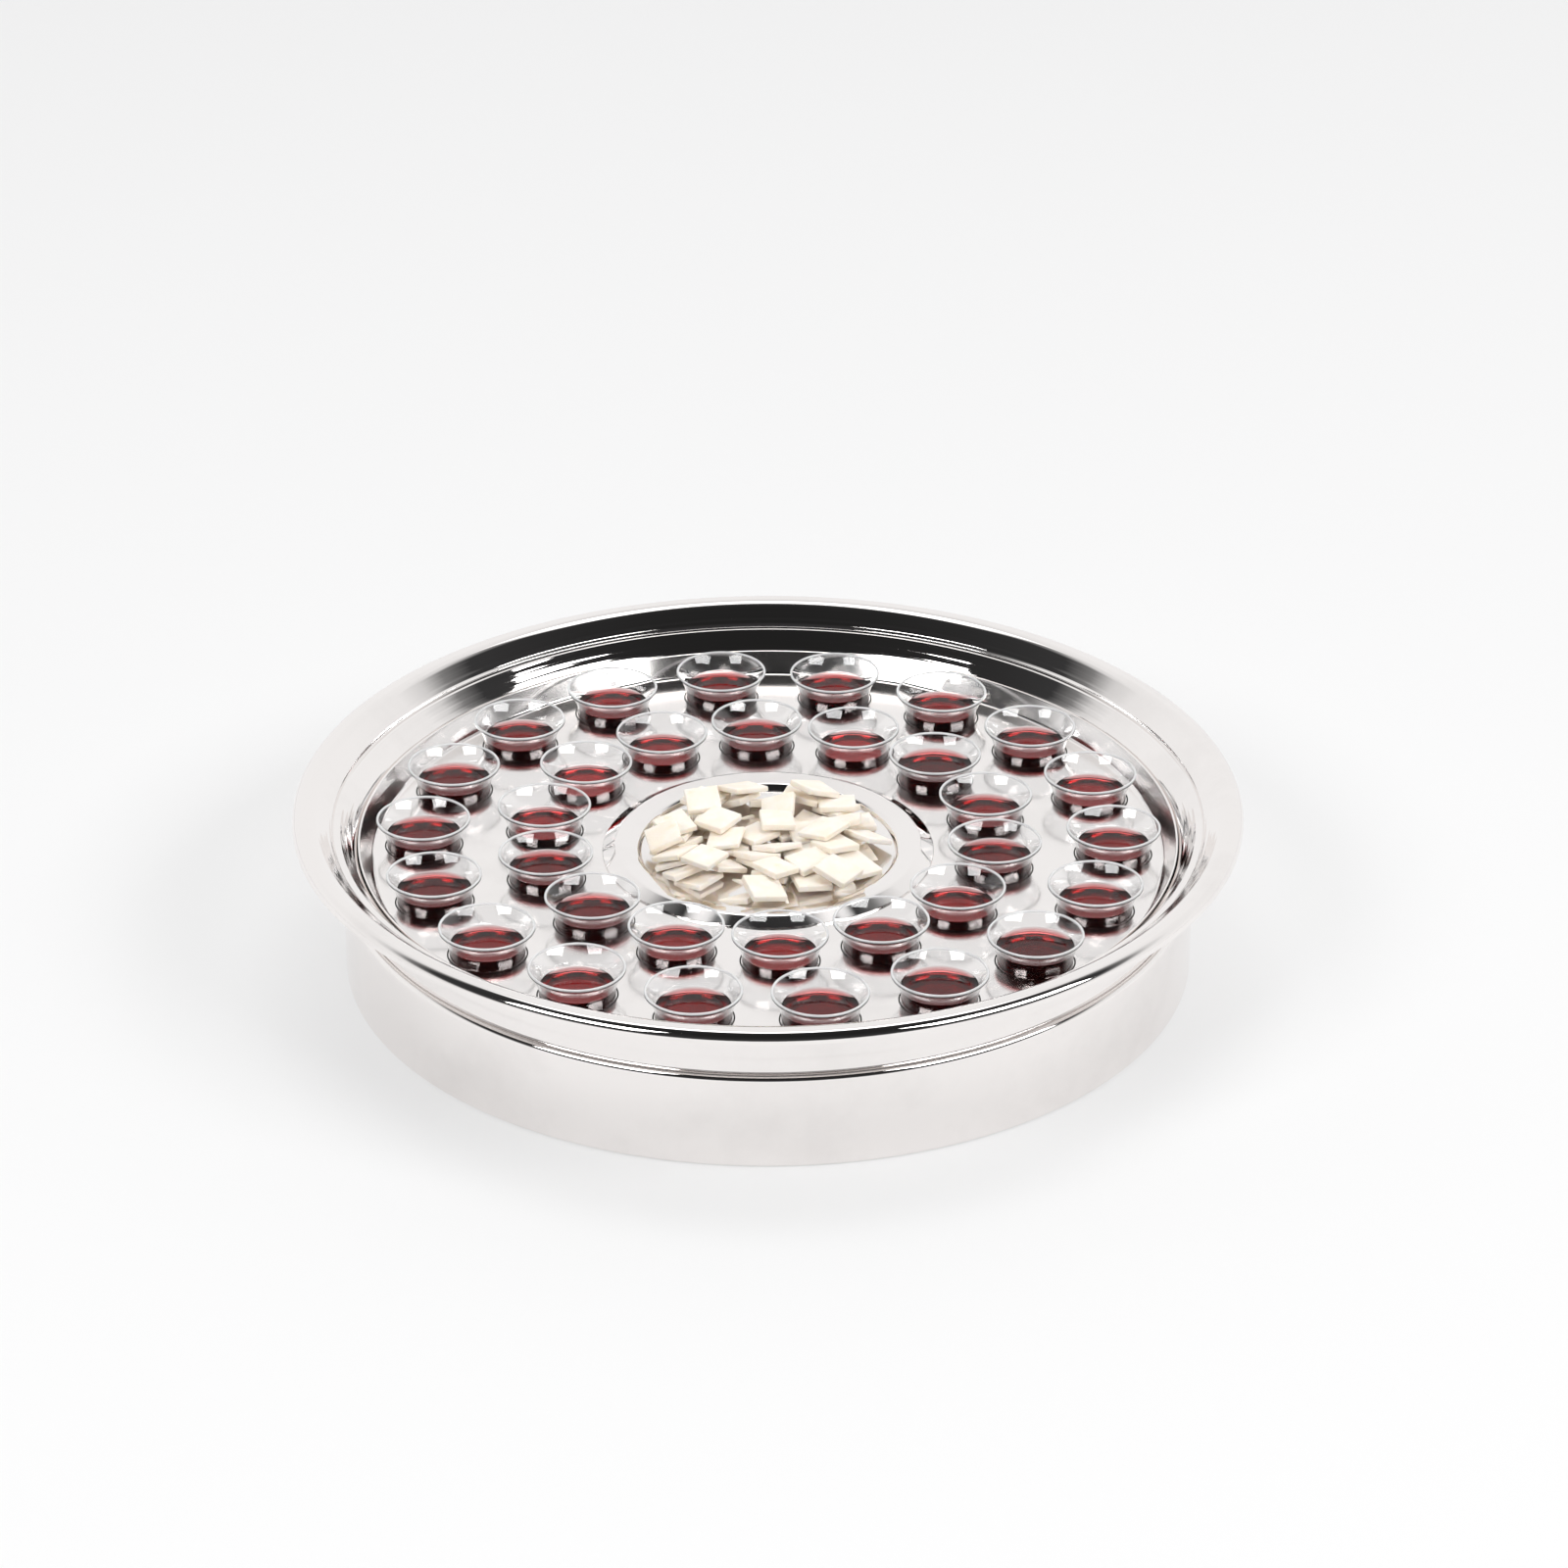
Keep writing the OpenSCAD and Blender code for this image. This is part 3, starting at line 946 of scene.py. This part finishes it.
@dataclass
class BreadHeap:
    """Loose squares of bread, dropped one by one into the bowl.

    Each square draws its sides and thickness from the pairs of shares. edge_share places the middle
    ring of an edge. In sides, brim_share is how far a square's middle stays inside the brim, and
    tip_share how far its corners are taken to reach.
    """

    bread: Finish
    bowl: BreadBowl
    side: float = 12.0
    side_share: Pair = (0.92, 1.06)
    thick: float = 2.1
    thick_share: Pair = (0.85, 1.12)
    corner_r: float = 0.4
    least_r: float = 0.02
    edge_r: float = 0.35
    edge_share: float = 0.3
    face_inset: float = 2.4
    skew: float = 0.04
    bow: float = 0.35
    count: int = 98
    tries: int = 60
    seed: int = 12
    grid_half: float = 46.0
    cell: float = 1.0
    steepest: float = 0.42
    least_slope: float = 1e-6
    brim_r: float = 43.1
    brim_share: float = 0.55
    brim_cost: float = 8.0
    tip_share: float = 0.52
    crease: float = 60.0

    def square(self, dice: np.random.Generator) -> tuple[np.ndarray, float]:
        """A cut square as rings of points from its top to its base, a little uneven and bowed.

        A ring is a rounded rectangle: three points of an arc at each corner, drawn in by the ring's
        inset. The bow lifts a point by the product of its two distances from the middle.

        Args:
            dice: Source of chance.

        Returns:
            Points as a (rings, 12, 3) array that stands on its underside, and its thickness.
        """
        half = self.side / 2.0 * dice.uniform(*self.side_share, 2)
        thick = self.thick * dice.uniform(*self.thick_share)
        arc = np.radians(np.repeat(np.arange(4) * 90.0, 3) + np.tile([0.0, 45.0, 90.0], 4))
        way = np.stack([np.cos(arc), np.sin(arc)], axis=1)
        post = np.repeat(QUADRANTS, 3, axis=0) * (half - self.corner_r)
        drop = np.array([0.0, 0.0, self.edge_share, 1.0]) * self.edge_r
        inset = np.array([self.face_inset, self.edge_r, self.edge_r * self.edge_share, 0.0])
        inset = np.concatenate([inset, inset[::-1]])
        level = np.concatenate([thick - drop, drop[::-1]])
        plan = post * (1.0 - np.maximum(inset - self.corner_r, 0.0) / half.min())[:, None, None]
        plan = plan + way * np.maximum(self.corner_r - inset, self.least_r)[:, None, None]
        skew = dice.uniform(-self.skew, self.skew, 2)
        plan = plan + plan[:, :, ::-1] * skew
        bow = dice.uniform(-self.bow, self.bow) * plan[:, :, 0] * plan[:, :, 1] / half.prod()
        height = np.broadcast_to(level[:, None], bow.shape) + bow
        return np.concatenate([plan, height[:, :, None]], axis=2), thick

    def build(self) -> None:
        """Drops squares where the heap is lowest, each lying on the slope that it lands on."""
        dice = np.random.default_rng(self.seed)
        axis = np.arange(-self.grid_half, self.grid_half, self.cell)
        grid = np.stack(np.meshgrid(axis, axis, indexing="ij"))
        heap = self.bowl.inside(np.hypot(*grid))
        shells: list[Shell] = []
        for _ in range(self.count):
            landings = [self.landing(heap, grid, dice) for _ in range(self.tries)]
            _, mask, pose, underside = min(landings, key=lambda landing: landing[0])
            cut, thick = self.square(dice)
            turned = cut.reshape(-1, 3) @ np.array(pose.to_3x3()).T
            heap[mask] = underside[mask] + thick
            rings, ring = cut.shape[:2]
            faces = lattice(rings, ring, False, True).tolist()
            caps = [list(range(ring)), list(range((rings - 1) * ring, rings * ring))]
            shells.append(Shell(turned + np.array(pose.translation), faces + caps))
        made = shells[0].joined(*shells[1:]).piece("bread_heap", self.bread, self.crease)
        dress(made, "bowl", "bread", "bread_squares")

    def landing(
        self, heap: np.ndarray, grid: np.ndarray, dice: np.random.Generator
    ) -> tuple[float, np.ndarray, Matrix, np.ndarray]:
        """Tries one place for a square, on the plane that best fits the heap, raised clear of it.

        Args:
            heap: Height of the heap at each grid point.
            grid: X and Y of the grid points.
            dice: Source of chance.

        Returns:
            How high the square's upper edge lies, and more where a corner would stick out over the
            brim; the grid points under it; its pose; and its underside.
        """
        reach = self.brim_r - self.side * self.brim_share
        turn, spin = dice.uniform(0.0, FULL_TURN, 2)
        out = reach * math.sqrt(dice.uniform())
        cx, cy = out * math.cos(turn), out * math.sin(turn)
        dx, dy = grid[0] - cx, grid[1] - cy
        cos, sin = math.cos(spin), math.sin(spin)
        half = self.side * 0.5
        mask = (np.abs(dx * cos + dy * sin) < half) & (np.abs(dy * cos - dx * sin) < half)
        under = np.column_stack([dx[mask], dy[mask], np.ones(int(mask.sum()))])
        fit, *_ = np.linalg.lstsq(under, heap[mask], rcond=None)
        steep = math.hypot(fit[0], fit[1])
        slope = fit[:2] * min(1.0, self.steepest / max(steep, self.least_slope))
        plane = dx * slope[0] + dy * slope[1]
        rise = float(np.max((heap - plane)[mask]))
        tip_x, tip_y = (QUADRANTS * self.side * self.tip_share).T
        far = np.hypot(cx + tip_x * cos - tip_y * sin, cy + tip_x * sin + tip_y * cos).max()
        up = Vector((-slope[0], -slope[1], 1.0)).normalized()
        lean = Vector((0, 0, 1)).rotation_difference(up).to_matrix().to_4x4()
        pose = Matrix.Translation((cx, cy, rise)) @ lean @ Matrix.Rotation(spin, 4, "Z")
        over = max(0.0, float(far) - self.brim_r)
        cost = rise + half * float(np.hypot(*slope)) + self.brim_cost * over
        return cost, mask, pose, plane + rise


@dataclass
class Cup:
    """One clear flared cup and the juice in it. Heights are above the cup's own foot."""

    plastic: Finish
    juice: Finish
    name: str
    x: float
    y: float
    level: float
    stand_z: float = PAN_FLOOR_Z
    height: float = 35.0
    rim_r: float = 15.6
    neck_r: float = 12.3
    foot_r: float = 10.9
    flare_h: float = 7.6
    lip_h: float = 0.9
    wall: float = 0.8
    push_up: float = 0.6
    foot_w: float = 1.8
    foot_h: float = 1.0
    foot_bend: float = 0.2
    heel_bend: float = 0.5
    foot_steps: int = 4
    base_draft: float = 0.1
    base_bend: float = 0.8
    base_steps: int = 5
    taper_rows: int = 6
    flare_rows: int = 22
    lip_rows: int = 9
    overlap: float = 0.12
    juice_foot_h: float = 0.9
    juice_foot: tuple[Pair, ...] = ((0.7, 0.0), (0.2, 0.25))
    juice_rows: int = 20
    meniscus_w: float = 2.9
    meniscus_h: float = 1.0
    meniscus_power: float = 2.2
    meniscus_rows: int = 15
    segments: int = 80

    @property
    def flare_top(self) -> float:
        """Height where the flare ends under the lip."""
        return self.height - self.lip_h

    @property
    def flare_foot(self) -> float:
        """Height where the flare begins."""
        return self.flare_top - self.flare_h

    def radius(self, height: np.ndarray) -> np.ndarray:
        """Outer radius: a plain taper, and a flare that grows with the square of the height.

        Args:
            height: Heights.

        Returns:
            The radius at each height.
        """
        taper = (self.neck_r - self.foot_r) / self.flare_foot
        flare = self.rim_r - self.foot_r - taper * self.flare_top
        opened = np.clip(height - self.flare_foot, 0.0, self.flare_h) / self.flare_h
        return self.foot_r + taper * height + flare * opened**2

    def outline(self) -> np.ndarray:
        """Outer face from the middle of the foot up, the rounded lip, then the inner face back.

        The inner face is the outer one moved by the wall along its normal, (-1, slope) made unit.

        Returns:
            (radius, height) points.
        """
        straight = np.linspace(self.foot_h, self.flare_foot, self.taper_rows)
        flare = np.linspace(self.flare_foot, self.flare_top, self.flare_rows)
        rise = np.concatenate([straight, flare[1:]])
        outer = np.column_stack([self.radius(rise), rise])
        hollow_r = self.foot_r - self.foot_w
        foot = rounded(
            [
                (0.0, self.push_up, 0.0),
                (hollow_r, self.push_up, self.foot_bend),
                (hollow_r + self.push_up / 2.0, 0.0, self.foot_bend),
                (self.foot_r, 0.0, self.heel_bend),
                (float(outer[0, 0]), self.foot_h, 0.0),
            ],
            self.foot_steps,
        )
        bead = np.linspace(0.0, math.pi, self.lip_rows)
        half = self.wall / 2.0
        lip_r = self.rim_r - half + half * np.cos(bead)
        lip = np.column_stack([lip_r, self.height - half + half * np.sin(bead)])
        slope = np.gradient(outer[:, 0], outer[:, 1])
        length = np.sqrt(1.0 + slope**2)
        inner = outer + self.wall * np.column_stack([-1.0 / length, slope / length])
        base_z = self.push_up + self.wall
        inner = inner[inner[:, 1] > base_z + self.foot_h]
        inner = inner[inner[:, 1] < self.height - half]
        low_r, low_z = inner[0].tolist()
        base = rounded(
            [
                (low_r, low_z, 0.0),
                (low_r - self.base_draft, base_z, self.base_bend),
                (0.0, base_z, 0.0),
            ],
            self.base_steps,
        )
        return np.concatenate([foot, outer[1:], lip, inner[::-1], base[1:]])

    def fill(self) -> np.ndarray:
        """Juice from the middle of its base, up the wall and over a meniscus to its middle.

        The meniscus falls by h (1 - (1 - t)^p) as t goes from 0 at the wall to 1 at its inner edge.
        The juice reaches into the wall by the overlap, so that no air shows between them.

        Returns:
            (radius, height) points.
        """
        bottom = self.push_up + self.wall - self.overlap
        rise = np.linspace(bottom + self.juice_foot_h, self.level, self.juice_rows)
        reach = self.radius(rise) - self.wall + self.overlap
        side = np.column_stack([reach, rise])
        climb = np.linspace(0.0, 1.0, self.meniscus_rows)[1:]
        drop = self.meniscus_h * (1.0 - (1.0 - climb) ** self.meniscus_power)
        meniscus = np.column_stack([reach[-1] - self.meniscus_w * climb, self.level - drop])
        foot = [[reach[0] - inset, bottom + lift] for inset, lift in self.juice_foot]
        start = np.array([[0.0, bottom], *foot])
        flat_z = meniscus[-1, 1]
        middle = np.array([[reach[-1] / 2.0, flat_z], [0.0, flat_z]])
        return np.concatenate([start, side, meniscus, middle])

    def build(self) -> None:
        """Makes the cup and its juice."""
        lift = np.array([0.0, self.stand_z])
        body = f"{self.name}_body"
        cup = Shell.turned(self.outline() + lift, self.segments, False, (self.x, self.y))
        dress(cup.piece(f"{self.name}_clear", self.plastic), body, "clear_cup", self.name)
        drink = Shell.turned(self.fill() + lift, self.segments, False, (self.x, self.y))
        dress(drink.piece(f"{self.name}_juice", self.juice), body, None)


@dataclass
class CupSet:
    """Both rings of cups, each filled to its own level."""

    plastic: Finish
    juice: Finish
    usual: float = 28.8
    spread: float = 0.7
    seed: int = 5
    odd: Mapping[str, float] = field(
        default_factory=lambda: {
            "inner_cup_02": 27.7,
            "inner_cup_03": 30.4,
            "inner_cup_08": 28.2,
            "inner_cup_12": 27.9,
            "inner_cup_13": 27.7,
            "outer_cup_08": 30.4,
            "outer_cup_09": 30.0,
        }
    )

    def build(self) -> None:
        """Makes every cup."""
        dice = np.random.default_rng(self.seed)
        for ring in Ring:
            for name, x, y in ring.places():
                level = self.usual + self.spread * float(dice.uniform(-1.0, 1.0))
                level = self.odd.get(name, level)
                Cup(self.plastic, self.juice, name, x, y, level).build()


# Studio, with sizes in metres


@dataclass(frozen=True)
class Softbox:
    """A rectangular lamp that faces the tray. Its direction is seen from the tray."""

    name: str
    direction: tuple[float, float, float]
    distance: float
    size: Pair
    watts: float
    mirrored: bool = True

    def build(self) -> None:
        """Hangs the lamp."""
        lamp = bpy.data.lights.new(self.name, "AREA")
        lamp.shape = "RECTANGLE"
        lamp.size, lamp.size_y = self.size
        lamp.energy = self.watts
        made = bpy.data.objects.new(self.name, lamp)
        way = Vector(self.direction).normalized()
        made.location = way * self.distance
        made.rotation_euler = way.to_track_quat("Z", "Y").to_euler()
        made.visible_glossy = self.mirrored
        bpy.context.scene.collection.objects.link(made)


@dataclass
class Studio:
    """White floor, a pale horizon under a dark ceiling, softboxes and the camera.

    The panel's spans are of X squared, and of Y, in the direction that is looked in.
    """

    focal_px: float = 5500.0
    image_px: float = 1600.0
    sensor: float = 36.0
    far: float = 50.0
    distance: float = 1.794
    elevation: float = 28.36
    aim_z: float = 0.030
    aim_px: Pair = (781.5, 886.6)
    floor_half: float = 6.0
    ceiling_lean: float = 32.0
    ceiling_squeeze: float = 0.6
    ceiling_stops: tuple[tuple[float, Colour], ...] = (
        (0.0, (0.95, 0.95, 0.95)),
        (0.32, (0.90, 0.90, 0.90)),
        (0.43, (0.70, 0.70, 0.70)),
        (0.52, (0.22, 0.22, 0.22)),
        (0.62, (0.04, 0.04, 0.041)),
        (1.0, (0.016, 0.016, 0.016)),
    )
    panel: Colour = (3.0, 3.0, 3.0)
    panel_sides: Pair = (0.05, 0.13)
    panel_front: Pair = (0.17, 0.26)
    panel_back: Pair = (0.43, 0.54)
    lamps: tuple[Softbox, ...] = (
        Softbox("softbox_left", (-0.576, -0.537, 0.616), 3.4, (1.8, 1.15), 50.0),
        Softbox("softbox_right", (0.682, -0.394, 0.616), 3.4, (2.3, 1.15), 63.0),
        Softbox("softbox_top", (0.0, 0.1, 1.0), 2.6, (2.0, 2.0), 14.0, mirrored=False),
    )

    def build(self) -> None:
        """Sets the stage."""
        self.floor()
        self.world()
        for lamp in self.lamps:
            lamp.build()
        self.camera()
        bpy.context.scene.view_settings.view_transform = "Standard"

    def floor(self) -> None:
        """A wide pale plane."""
        points = np.column_stack([QUADRANTS * self.floor_half / MM, np.zeros(len(QUADRANTS))])
        sheet = Shell(points, [list(range(len(points)))]).piece("floor", WhiteFloor())

    def world(self) -> None:
        """A pale sweep behind the tray under a dark ceiling that leans to the front.

        The ceiling is a cone about a tilted axis, squeezed along X so that it is wider than deep.
        A pale panel cuts into its rear edge.
        """
        world = bpy.data.worlds.new("studio")
        bpy.context.scene.world = world
        world.use_nodes = True
        graph = Graph(world.node_tree)
        side, back, up = graph.axes(graph.place("Generated"))
        lean = math.radians(self.ceiling_lean)
        across = side * self.ceiling_squeeze
        length = (across * across + back * back + up * up) ** 0.5
        panel = 1.0 - (side * side).ramp(*self.panel_sides)
        panel = panel * back.ramp(*self.panel_front) * (1.0 - back.ramp(*self.panel_back))
        height = (up * math.cos(lean) - back * math.sin(lean)) / length
        shade = graph.value("ValToRGB", {0: height}, stops=self.ceiling_stops)
        colour = graph.blend(panel, shade, self.panel)
        sky = graph.value("Background", {"Color": colour, "Strength": 1.0})
        graph.node("OutputWorld", {"Surface": sky})

    def camera(self) -> None:
        """A camera that looks at the aim point, then turns until the point lands on its pixel."""
        lens = bpy.data.cameras.new("camera")
        lens.sensor_width = self.sensor
        lens.lens = self.sensor * self.focal_px / self.image_px
        lens.clip_end = self.far
        made = bpy.data.objects.new("camera", lens)
        tilt = math.radians(self.elevation)
        rise = self.aim_z + self.distance * math.sin(tilt)
        made.location = (0.0, -self.distance * math.cos(tilt), rise)
        middle = self.image_px / 2.0
        pitch = tilt - math.atan((self.aim_px[1] - middle) / self.focal_px)
        yaw = math.atan((self.aim_px[0] - middle) / self.focal_px)
        made.rotation_euler = (math.pi / 2.0 - pitch, 0.0, yaw)
        bpy.context.scene.collection.objects.link(made)
        bpy.context.scene.camera = made


def main() -> None:
    """Builds the stage, then each sub-assembly."""
    logging.basicConfig(level=logging.INFO, format="%(name)s: %(message)s")
    steel = PolishedSteel()
    wiped = PolishedSteel("wiped_steel", roughness=0.12, smear_rough=0.10)
    bowl = BreadBowl(steel)
    Studio().build()
    Tray(steel).build()
    CupDisc(wiped).build()
    bowl.build()
    BreadHeap(FlatBread(), bowl).build()
    CupSet(ClearPlastic(), RedJuice()).build()


if __name__ == "__main__":
    main()
